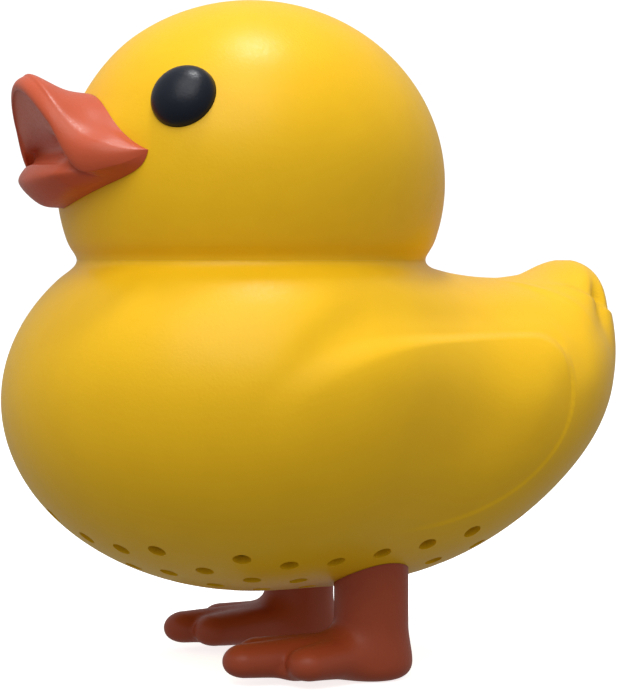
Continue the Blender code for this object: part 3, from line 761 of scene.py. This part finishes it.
def make_body_shell():
    shell = star_surface("duck_body", 0, (130, 200, 170), PARTING_Z + 8)
    cut(shell, block("above_neck", (-150, -150, PARTING_Z - SEAM), (150, 150, 300)))
    cavity = star_surface("cavity", -WALL, (40, 48, 44), PARTING_Z + 8, relief=False)
    cut(cavity, block("above_deck", (-140, -140, DECK_BOTTOM_Z), (140, 140, 290)))
    for _, sign in SIDES:
        low = (sign * LEG_X, LEG_Y, 15)
        cut(cavity, rod("leg_boss", SPIGOT_RADIUS + 5, low, (low[0], low[1], SEAT_Z)))
    cut(shell, cavity)
    opening = [
        (0, DECK_BOTTOM_Z - 5),
        (DECK_BORE, DECK_BOTTOM_Z - 5),
        (DECK_BORE, DECK_TOP_Z),
        (DECK_RECESS, DECK_TOP_Z),
        (DECK_RECESS, PARTING_Z + 5),
        (0, PARTING_Z + 5),
    ]
    cut(shell, turned("deck_opening", opening))
    holes = []
    for number in range(1, 5):
        place = node_centre(f"neck_screw_{number}")
        low = (place.x, place.y, DECK_BOTTOM_Z - 4)
        holes.append(rod("hole", SCREW_HOLE, low, (place.x, place.y, DECK_TOP_Z + 1)))
    for _, sign in SIDES:
        low = (sign * LEG_X, LEG_Y, 20)
        holes.append(rod("hole", SPIGOT_RADIUS + 0.3, low, (low[0], low[1], SEAT_Z + 5)))
    for x, y in vent_centres():
        point, outward = belly_place(x, y)
        holes.append(rod("hole", VENT_DIAMETER / 2, point - 7 * outward, point + 6 * outward))
    cut(shell, merged("holes", holes))
    finish_piece(shell, "body_shell", sharp=40)


def head_rings(offset, bottom_z, rows, around):
    """Rows of points round the head, from bottom_z up to its crown."""
    height = HEAD_RADII[2] + offset
    low = math.asin((bottom_z - HEAD_CENTRE[2]) / height)
    points = []
    for row in range(rows):
        rise = low + (math.pi / 2 - low) * row / rows
        z = HEAD_CENTRE[2] + height * math.sin(rise)
        turn = np.linspace(0, 2 * math.pi, around, endpoint=False)
        directions = np.stack([np.cos(turn), np.sin(turn), np.zeros(around)], -1)
        origin = np.broadcast_to(np.array((0, NECK_Y, z), float), directions.shape)
        reach = distance_to_skin(origin, directions, offset, reach=100)
        points.append(origin + reach[:, None] * directions)
    return np.concatenate(points), (0, NECK_Y, HEAD_CENTRE[2] + height)


def head_surface(rows=110, around=240):
    """The head's wall as one closed skin, open at the neck."""
    bottom_z = PARTING_Z + SEAM
    outer, outer_crown = head_rings(0, bottom_z, rows, around)
    inner, inner_crown = head_rings(-WALL, bottom_z, rows, around)
    count = rows * around
    points = np.concatenate([outer, inner, [outer_crown, inner_crown]])
    outer_faces = ring_of_faces(rows, around, False)
    faces = list(outer_faces)
    faces += [tuple(index + count for index in reversed(face)) for face in outer_faces]
    for step in range(around):
        after = (step + 1) % around
        top = count - around
        faces.append((after, step, step + count, after + count))
        faces.append((top + step, top + after, 2 * count))
        faces.append((top + after + count, top + step + count, 2 * count + 1))
    return points, faces


def eye_frame(sign):
    """The point on the head's skin where an eye is centred, and the direction it looks in."""
    turn = math.radians(EYE_TURN)
    tilt = math.radians(EYE_TILT)
    ring = HEAD_RADII[0] * math.sqrt(1 - (EYE_RISE / HEAD_RADII[2]) ** 2)
    outward = Vector((sign * math.sin(turn), -math.cos(turn), 0))
    point = Vector(HEAD_CENTRE) + outward * ring + Vector((0, 0, EYE_RISE))
    look = outward * math.cos(tilt) + Vector((0, 0, math.sin(tilt)))
    return point, look


def along_y(name, radius, x, front_y, back_y):
    """A rod from front to back at the height of the bill's studs."""
    return rod(name, radius, (x, front_y, STUD_Z), (x, back_y, STUD_Z))


def make_head_shell():
    points, faces = head_surface()
    shell = mesh_object("duck_head", points, faces)
    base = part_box("head_base")[0].z / MM + 3.1
    for number in range(1, 5):
        place = node_centre(f"head_screw_{number}")
        outward = Vector((place.x, place.y - NECK_Y, 0)).normalized()
        middle = Vector((0, NECK_Y, 0)) + outward * 60.5
        join(shell, rod("boss", 3.5, (place.x, place.y, base), (place.x, place.y, 166)))
        join(shell, rod("web", 3.6, (middle.x, middle.y, base), (middle.x, middle.y, 161)))
        cut(shell, rod("hole", 1.8, (place.x, place.y, base - 1), (place.x, place.y, 163)))
    for sign in (-1, 1):
        point, look = eye_frame(sign)
        cut(shell, rod("pocket", EYE_RADIUS + 0.1, point - look * EYE_POCKET, point + look * 6, 96))
        cut(shell, rod("hole", 2.7, point - look * 8, point + look * 4))
        join(shell, along_y("seat", 7, sign * STUD_X, -89.2, -83.5))
        cut(shell, along_y("hole", 2.8, sign * STUD_X, -100, -75))
    finish_piece(shell, "head_shell", sharp=40)


def make_eyes():
    for side, sign in SIDES:
        point, look = eye_frame(sign)
        foot = 0.3 - EYE_POCKET
        profile = [(0, -11), (1.9, -11), (2.4, -10.4), (2.4, foot), (EYE_RADIUS, foot)]
        for angle in np.linspace(0, math.pi / 2, 25):
            profile.append((EYE_RADIUS * math.cos(angle), EYE_HEIGHT * math.sin(angle) - EYE_FOOT))
        eye = turned(f"eye_{side}", profile, point, look, 96)
        finish_piece(eye, f"{side}_eye", sharp=50)


# The bill


def head_front(x, z, gap):
    """The Y of the head's skin in front, at a place in front view, moved out by gap."""
    flat = (x / HEAD_RADII[0]) ** 2 + ((z - HEAD_CENTRE[2]) / HEAD_RADII[2]) ** 2
    y = HEAD_CENTRE[1] - HEAD_RADII[1] * math.sqrt(1 - flat) - gap
    return y - float(forehead_relief(np.array((x, y, z))))


def bill_root(away):
    """The heights of the bill's upper and lower edge on the head; away runs from 0 to 1 at the corner."""
    bow = math.sqrt(1 - away**2)
    top = BILL_CORNER_Z + BILL_ROOT_RISE * (1 - away**2) * (1 - 0.5 * away**3)
    bottom = BILL_CORNER_Z - BILL_ROOT_DROP + 12 * away**1.4 + 6.9 * (1 - bow) ** 4
    return top, min(bottom, top)


def bill_section(place):
    """The bill cut at a place from -1, its right corner, to 1, its left corner: a loop of points.

    The mouth is open in the middle and closes towards the corners, where the upper lip's roll takes
    the whole height. The last points, on the head's side, are given apart.
    """
    away = abs(place)
    x = BILL_HALF_WIDTH * place
    bow = math.sqrt(1 - away**2)
    shut = float(smooth_step(0.54, 0.84, away))
    risen = float(smooth_step(0.55, 0.88, away))
    corner = float(smooth_step(0.9, 1, away))
    root_top, root_bottom = bill_root(away)
    top_y = head_front(x, root_top, BILL_GAP)
    bottom_y = head_front(x, root_bottom, BILL_GAP)

    rim_y = head_front(BILL_HALF_WIDTH, BILL_CORNER_Z, 0) - BILL_REACH * bow
    edge = BILL_RIM_Z - BILL_RIM_FALL * away**2 * (1 - 0.39 * away**4)
    edge = edge * (1 - corner) + root_bottom * corner
    roll_low = edge * (1 - shut) + (root_bottom + 0.4 * (1 - corner)) * shut
    roll_top = edge + BILL_LIP * (1 - away**4) + 1.5 * (1 - corner)
    roll_top = max(roll_top * (1 - risen) + (root_top - 1.2 * bow) * risen, roll_low)
    roll_deep = (7 + 3 * shut) * bow
    valley_y = (top_y + rim_y + roll_deep) / 2
    valley_z = (root_top + roll_top) / 2 - BILL_VALLEY * bow * (1 - 1.7 * shut)
    upper = [(top_y, root_top), (valley_y, valley_z)]
    for angle in (10, 35, 60, 85, 110, 135):
        turn = math.radians(angle)
        fall = (1 - math.cos(turn)) / 2
        upper.append((rim_y + roll_deep * (1 - math.sin(turn)), roll_top - (roll_top - roll_low) * fall))

    lower_y = rim_y + LOWER_LIP_SETBACK * bow
    lower_z = LOWER_LIP_Z - 1.5 * away
    opened = [
        ((rim_y + MOUTH_BACK_Y) / 2, (edge + MOUTH_BACK_Z) / 2 - 0.5),
        (MOUTH_BACK_Y, MOUTH_BACK_Z),
        ((lower_y + MOUTH_BACK_Y) / 2, (lower_z + MOUTH_BACK_Z) / 2 - 1.5),
        (lower_y + 2 * bow, lower_z),
        (lower_y, (lower_z + root_bottom) / 2 + 1),
        (lower_y * 0.55 + bottom_y * 0.45, root_bottom + 1.2 * bow),
    ]
    lower = []
    for number, (open_y, open_z) in enumerate(opened):
        share = (number + 1) / (len(opened) + 1)
        shut_y = upper[-1][0] * (1 - share) + bottom_y * share - bow * math.sin(math.pi * share)
        shut_z = upper[-1][1] * (1 - share) + root_bottom * share
        lower.append((open_y * (1 - shut) + shut_y * shut, open_z * (1 - shut) + shut_z * shut))
    back = []
    for share in (0.25, 0.5, 0.75):
        z = root_bottom + (root_top - root_bottom) * share
        back.append((head_front(x, z, BILL_GAP), z))
    return x, upper + lower + [(bottom_y, root_bottom)], back


def smooth_line(points, per_span):
    """A smooth line through points, the first and last included."""
    given = np.array(points, float)
    given = np.concatenate([[2 * given[0] - given[1]], given, [2 * given[-1] - given[-2]]])
    line = []
    for span in range(1, len(given) - 2):
        before, start, end, after = given[span - 1:span + 3]
        for step in range(per_span):
            t = step / per_span
            line.append(0.5 * (
                2 * start
                + (end - before) * t
                + (2 * before - 5 * start + 4 * end - after) * t**2
                + (3 * start - before - 3 * end + after) * t**3
            ))
    line.append(given[-2])
    return np.array(line)


def make_beak():
    sections = 120
    points = []
    for number in range(sections + 1):
        angle = math.radians(-89.5 + 179 * number / sections)
        x, front, back = bill_section(math.sin(angle))
        loop = np.concatenate([smooth_line(front, 6), back])
        points += [(x, y, z) for y, z in loop]
    around = len(points) // (sections + 1)
    beak = mesh_object("duck_bill", points, ring_of_faces(sections + 1, around, True))
    for _, sign in SIDES:
        join(beak, along_y("stud", 2.5, sign * STUD_X, -95.5, -77.5))
    finish_piece(beak, "beak", sharp=60)


# The legs


def toe_field(points, tip, wide, tall, middle):
    """A toe: a rounded bar from the leg's axis to its tip.

    The half sizes and the height of the middle line are pairs, at the leg and at the tip.
    """
    axis = np.array(tip, float)
    length = np.linalg.norm(axis)
    axis = axis / length
    share = np.clip(points[..., :2] @ axis / (length - wide[1]), 0, 1)
    half_wide = wide[0] + (wide[1] - wide[0]) * share
    half_tall = tall[0] + (tall[1] - tall[0]) * share
    height = (points[..., 2] - middle[0] - (middle[1] - middle[0]) * share) * half_wide / half_tall
    beside = points[..., :2] - (share * (length - wide[1]))[..., None] * axis
    return np.sqrt((beside**2).sum(-1) + height**2) - half_wide


def leg_field(points, sign):
    """The leg's column and its webbed foot, before it is cut level."""
    local = points - np.array((sign * LEG_X, LEG_Y, 0.0))
    local = local * np.array((sign, 1, 1))
    heel = HEEL_FLARE * hump(local[..., 2], 5, 7)
    column = np.hypot(local[..., 0], local[..., 1]) - LEG_RADIUS - heel
    foot = toe_field(local, TOES[0], TOE_WIDE, TOE_TALL, TOE_MIDDLE)
    for tip in TOES[1:]:
        foot = blended(foot, toe_field(local, tip, TOE_WIDE, TOE_TALL, TOE_MIDDLE), TOE_GROOVE)
    for first, second in ((0, 1), (1, 2)):
        tip = 0.4 * (np.array(TOES[first]) + np.array(TOES[second]))
        foot = blended(foot, toe_field(local, tip, (9, 6), (6, 3.6), (6, 4.4)), WEB_BLEND)
    return blended(column, foot, FOOT_BLEND)


def cut_leg_field(points, sign):
    """The leg cut level at the sole, with a rounded edge, and cut off inside the body."""
    foot = leg_field(points, sign)
    under = -points[..., 2]
    near = np.clip(SOLE_ROUNDING - np.abs(foot - under), 0, None) / SOLE_ROUNDING
    rounded = np.maximum(foot, under) + near * near * SOLE_ROUNDING / 4
    return np.maximum(rounded, points[..., 2] - LEG_CUT_Z)


def make_legs():
    skin = star_surface("skin", 0.15, (60, 80, 60), PARTING_Z + 8, relief=False)
    for side, sign in SIDES:
        x = sign * LEG_X
        low = (x - 34, LEG_Y - 62, -3)
        high = (x + 34, LEG_Y + 22, LEG_CUT_Z + 3)
        leg = surface_net(f"leg_{side}", partial(cut_leg_field, sign=sign), low, high, LEG_GRID)
        copy = bpy.data.objects.new("skin_copy", skin.data.copy())
        bpy.context.scene.collection.objects.link(copy)
        cut(leg, copy)
        join(leg, rod("spigot", SPIGOT_RADIUS, (x, LEG_Y, 25), (x, LEG_Y, SPIGOT_TOP_Z)))
        cut(leg, rod("bore", 4.7, (x, LEG_Y, 8), (x, LEG_Y, 70)))
        finish_piece(leg, f"{side}_leg", sharp=50)
    bpy.data.objects.remove(skin, do_unlink=True)


# The inner pieces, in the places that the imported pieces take


def ring_places(radius):
    """Four places round the neck's axis."""
    turns = [math.radians(45 + 90 * number) for number in range(4)]
    return [(radius * math.cos(turn), NECK_Y + radius * math.sin(turn)) for turn in turns]


def helical_ridge(name, inside, outside, half_heights, start_angle, span, start_z, steps):
    """A ridge that climbs by the thread's lead; half_heights are those at its root and at its crest."""
    root, crest = half_heights
    points = []
    for step in range(steps + 1):
        swept = span * step / steps
        angle = math.radians(start_angle + swept)
        middle = start_z + THREAD_LEAD * swept / 360
        for radius, height in ((inside, -root), (outside, -crest), (outside, crest), (inside, root)):
            points.append((radius * math.cos(angle), NECK_Y + radius * math.sin(angle), middle + height))
    return mesh_object(name, points, ring_of_faces(steps + 1, 4, True))


def cut_round_neck(thing, circle, radius, low_z, high_z):
    """Cuts a round hole or well for each of the four screws on a circle."""
    tools = [rod("hole", radius, (x, y, low_z), (x, y, high_z)) for x, y in ring_places(circle)]
    cut(thing, merged("holes", tools))


def make_neck_ring():
    profile = [
        (43.8, 145.8), (60.1, 145.8), (60.5, 146.2), (60.5, 148.2), (60.1, 148.6), (48.6, 148.6),
        (48.6, 166.1), (48.2, 166.5), (46.4, 166.5), (46, 166.1), (46, 148.6), (43.8, 148.6),
    ]
    ring = turned("ring", profile)
    for start in range(3):
        join(ring, helical_ridge("thread", 47.6, 50.5, (1.2, 0.6), 4 + 120 * start, 135, 154.5, 48))
    cut_round_neck(ring, NECK_SCREW_CIRCLE, SCREW_HOLE, 143, 150)
    cut_round_neck(ring, NECK_SCREW_CIRCLE, 3.4, NECK_SCREW_SEAT_Z - 0.3, 150)
    finish_piece(ring, "neck_ring")


def make_head_base():
    profile = [
        (0, 170), (51.2, 170), (51.2, 150), (60.8, 150), (61.2, 150.4), (61.2, 152.4), (60.8, 152.8),
        (53.4, 152.8), (53.4, 172), (52.9, 172.5), (0, 172.5),
    ]
    base = turned("base", profile)
    for start in range(3):
        join(base, helical_ridge("lug", 52.2, 49.1, (1.4, 1.4), 7 + 120 * start, 24, 151.825, 10))
    cut_round_neck(base, HEAD_SCREW_CIRCLE, SCREW_HOLE, 149, 154)
    cut_round_neck(base, HEAD_SCREW_CIRCLE, 3.1, 149, HEAD_SCREW_SEAT_Z + 0.3)
    finish_piece(base, "head_base")


def make_screw(node, place, seat_z, tip_z, head_radius, head_height):
    """A screw whose head's underside is at seat_z, with a six-sided recess in the head."""
    away = math.copysign(1, seat_z - tip_z)
    top = seat_z + away * head_height
    profile = [
        (0, top), (head_radius - 0.3, top), (head_radius, top - away * 0.3), (head_radius, seat_z),
        (1.5, seat_z), (1.5, tip_z + away), (0.9, tip_z), (0, tip_z),
    ]
    screw = turned("screw", profile, (*place, 0), segments=32)
    cut(screw, rod("recess", 1.2, (*place, top + away), (*place, top - away * 0.7), 6))
    finish_piece(screw, node)


def make_nut(node, base, axis, corner_radius, bore, height):
    base = Vector(base)
    axis = Vector(axis)
    nut = rod("nut", corner_radius, base, base + axis * height, 6)
    cut(nut, rod("bore", bore, base - axis, base + axis * (height + 1), 48))
    finish_piece(nut, node, bevel=0.35)


def make_fixings():
    for number, place in enumerate(ring_places(NECK_SCREW_CIRCLE), 1):
        make_screw(f"neck_screw_{number}", place, NECK_SCREW_SEAT_Z, 138.5, 3.0, 1.3)
    for number, place in enumerate(ring_places(HEAD_SCREW_CIRCLE), 1):
        make_screw(f"head_screw_{number}", place, HEAD_SCREW_SEAT_Z, 161, 2.8, 1.1)
    for side, sign in SIDES:
        place = (sign * LEG_X, LEG_Y)
        rim = [(7.3, SEAT_Z + 0.3), (10.5, SEAT_Z + 0.3), (10.5, SEAT_Z + 1.5), (7.3, SEAT_Z + 1.5)]
        washer = turned("washer", rim, (*place, 0))
        finish_piece(washer, f"{side}_leg_washer", bevel=0.2)
        make_nut(f"{side}_leg_nut", (*place, SEAT_Z + 1.8), (0, 0, 1), 11.5, 7.3, 5.5)
        ballast = rod("ballast", 4.3, (*place, 8.3), (*place, 56), 64)
        finish_piece(ballast, f"{side}_ballast", bevel=0.5)
        make_nut(f"{side}_beak_nut", (sign * STUD_X, -83.2, STUD_Z), (0, 1, 0), 5.5, 2.8, 4)
        point, look = eye_frame(sign)
        washer = turned("washer", [(2.6, -4.9), (6.5, -4.9), (6.5, -3.9), (2.6, -3.9)], point, look, 64)
        finish_piece(washer, f"{side}_eye_washer", bevel=0.2)


def slot_tools(inside, outside):
    """The upright slots as tools between two radii."""
    tools = []
    for number in range(SLOT_COUNT):
        angle = math.radians(360 / SLOT_COUNT * number)
        outward = np.array((math.cos(angle), math.sin(angle), 0))
        across = np.array((-outward[1], outward[0], 0)) * SLOT_HALF_WIDTH
        points = []
        for level in SLOT_HEIGHTS:
            for radius, sign in ((inside, -1), (outside, -1), (outside, 1), (inside, 1)):
                points.append(np.array((0, NECK_Y, level)) + outward * radius + across * sign)
        tools.append(mesh_object("slot", points, ring_of_faces(2, 4, True)))
    return merged("slots", tools)


def make_basket():
    profile = [
        (0, BASKET_BOTTOM_Z),
        (SLEEVE_RADIUS - EASED, BASKET_BOTTOM_Z),
        (SLEEVE_RADIUS, BASKET_BOTTOM_Z + EASED),
        (SLEEVE_RADIUS, BASKET_FLOOR_Z),
        (BASKET_RADIUS, BASKET_FLOOR_Z),
        (BASKET_RADIUS, BASKET_TOP_Z - 2),
        (BASKET_RIM_RADIUS, BASKET_TOP_Z - 2),
        (BASKET_RIM_RADIUS, BASKET_TOP_Z - EASED),
        (BASKET_RIM_RADIUS - EASED, BASKET_TOP_Z),
        (BASKET_BORE + EASED, BASKET_TOP_Z),
        (BASKET_BORE, BASKET_TOP_Z - EASED),
        (BASKET_BORE, BASKET_FLOOR_Z),
        (0, BASKET_FLOOR_Z),
    ]
    basket = turned("basket", profile)
    cut(basket, slot_tools(34, 46))
    places = [(0, NECK_Y)]
    for number in range(6):
        turn = math.radians(60 * number)
        places.append((22 * math.cos(turn), NECK_Y + 22 * math.sin(turn)))
    drains = [rod("drain", 3, (x, y, BASKET_BOTTOM_Z - 4), (x, y, BASKET_FLOOR_Z + 3.5)) for x, y in places]
    cut(basket, merged("drains", drains))
    finish_piece(basket, "tablet_basket")


def make_sleeve():
    low = BASKET_FLOOR_Z + 0.3
    profile = [
        (SLEEVE_BORE, low), (SLEEVE_RADIUS, low), (SLEEVE_RADIUS, SLEEVE_TOP_Z), (SLEEVE_BORE, SLEEVE_TOP_Z),
    ]
    sleeve = turned("sleeve", profile)
    cut(sleeve, slot_tools(37, 48))
    finish_piece(sleeve, "flow_sleeve")


def make_seal():
    profile = [
        (45.5, 167.6), (45.7, 167.1), (46.3, 166.8), (49.2, 166.8), (49.8, 167.1), (50, 167.6),
        (50, 168.9), (49.8, 169.4), (49.2, 169.7), (46.3, 169.7), (45.7, 169.4), (45.5, 168.9),
    ]
    finish_piece(turned("seal", profile), "neck_seal")


def make_floats():
    profile = [(49.5, 110), (77, 110), (77, 120), (66, 136), (49.5, 136)]
    for side, start in (("left", -86), ("right", 94)):
        half_ring = turned("foam", profile, start=start, sweep=172, segments=96)
        finish_piece(half_ring, f"{side}_float", bevel=0.9)


# The studio


def add_light(name, place, size, power):
    """A soft square light that looks at the duck."""
    light_data = bpy.data.lights.new(name, "AREA")
    light_data.size = size
    light_data.energy = power
    light = bpy.data.objects.new(name, light_data)
    light.location = place
    aim = Vector(LAMP_AIM) - Vector(place)
    light.rotation_euler = aim.to_track_quat("-Z", "Y").to_euler()
    bpy.context.scene.collection.objects.link(light)


def make_camera():
    camera_data = bpy.data.cameras.new("camera")
    camera_data.lens = CAMERA_LENS
    camera_data.sensor_width = 36
    camera_data.clip_start = 0.01
    camera = bpy.data.objects.new("camera", camera_data)
    azimuth = math.radians(CAMERA_AZIMUTH)
    camera.location = (
        CAMERA_DISTANCE * math.sin(azimuth),
        CAMERA_AIM_Y - CAMERA_DISTANCE * math.cos(azimuth),
        CAMERA_HEIGHT,
    )
    camera.rotation_euler = (math.radians(90 - CAMERA_DROP), 0, azimuth)
    bpy.context.scene.collection.objects.link(camera)
    bpy.context.scene.camera = camera


def glowing(name, grey, glow):
    """A matt surface that adds its own white light to a grey."""
    made, _, _, shader = new_material(name)
    shader.inputs["Base Color"].default_value = (grey, grey, grey, 1)
    shader.inputs["Roughness"].default_value = 0.9
    shader.inputs["Specular IOR Level"].default_value = 0
    shader.inputs["Emission Color"].default_value = (1, 1, 1, 1)
    shader.inputs["Emission Strength"].default_value = glow
    return made


def make_floor():
    bpy.ops.mesh.primitive_plane_add(size=FLOOR_SIZE)
    floor = bpy.context.object
    floor.name = "floor"
    floor.data.materials.append(glowing("floor", FLOOR_GREY, FLOOR_GLOW))
    floor.visible_diffuse = False
    floor.visible_glossy = False


def make_sky():
    """The sky's light by direction: it grows evenly from under the horizon to well above it."""
    world = bpy.data.worlds.new("world")
    world.use_nodes = True
    nodes = world.node_tree.nodes
    links = world.node_tree.links
    place = nodes.new("ShaderNodeTexCoord")
    parts = nodes.new("ShaderNodeSeparateXYZ")
    span = nodes.new("ShaderNodeMapRange")
    span.inputs["From Min"].default_value = SKY_LOW
    span.inputs["From Max"].default_value = SKY_HIGH
    span.inputs["To Min"].default_value = SKY_BOTTOM
    span.inputs["To Max"].default_value = SKY_TOP
    links.new(place.outputs["Generated"], parts.inputs["Vector"])
    links.new(parts.outputs["Z"], span.inputs["Value"])
    links.new(span.outputs["Result"], nodes["Background"].inputs["Strength"])
    nodes["Background"].inputs["Color"].default_value = (1, 1, 1, 1)
    bpy.context.scene.world = world


def make_backdrop():
    """A plain white dome round the set. It is only there to be looked at and lights nothing."""
    bpy.ops.mesh.primitive_uv_sphere_add(segments=48, ring_count=24, radius=BACKDROP_RADIUS)
    dome = bpy.context.object
    dome.name = "backdrop"
    dome.data.materials.append(glowing("backdrop", 0, BACKDROP_GLOW))
    dome.visible_diffuse = False
    dome.visible_glossy = False
    dome.visible_shadow = False


make_body_shell()
make_head_shell()
make_eyes()
make_beak()
make_legs()
make_neck_ring()
make_head_base()
make_fixings()
make_basket()
make_sleeve()
make_seal()
make_floats()
for node, thing in frame["nodes"].items():
    for slot in thing.material_slots:
        slot.material = LOOKS[slot_of(node)]
make_camera()
make_floor()
add_light("overhead", OVERHEAD_PLACE, OVERHEAD_SIZE, OVERHEAD_POWER)
add_light("front", FRONT_PLACE, FRONT_SIZE, FRONT_POWER)
bpy.context.scene.view_settings.view_transform = "Standard"
make_sky()
make_backdrop()
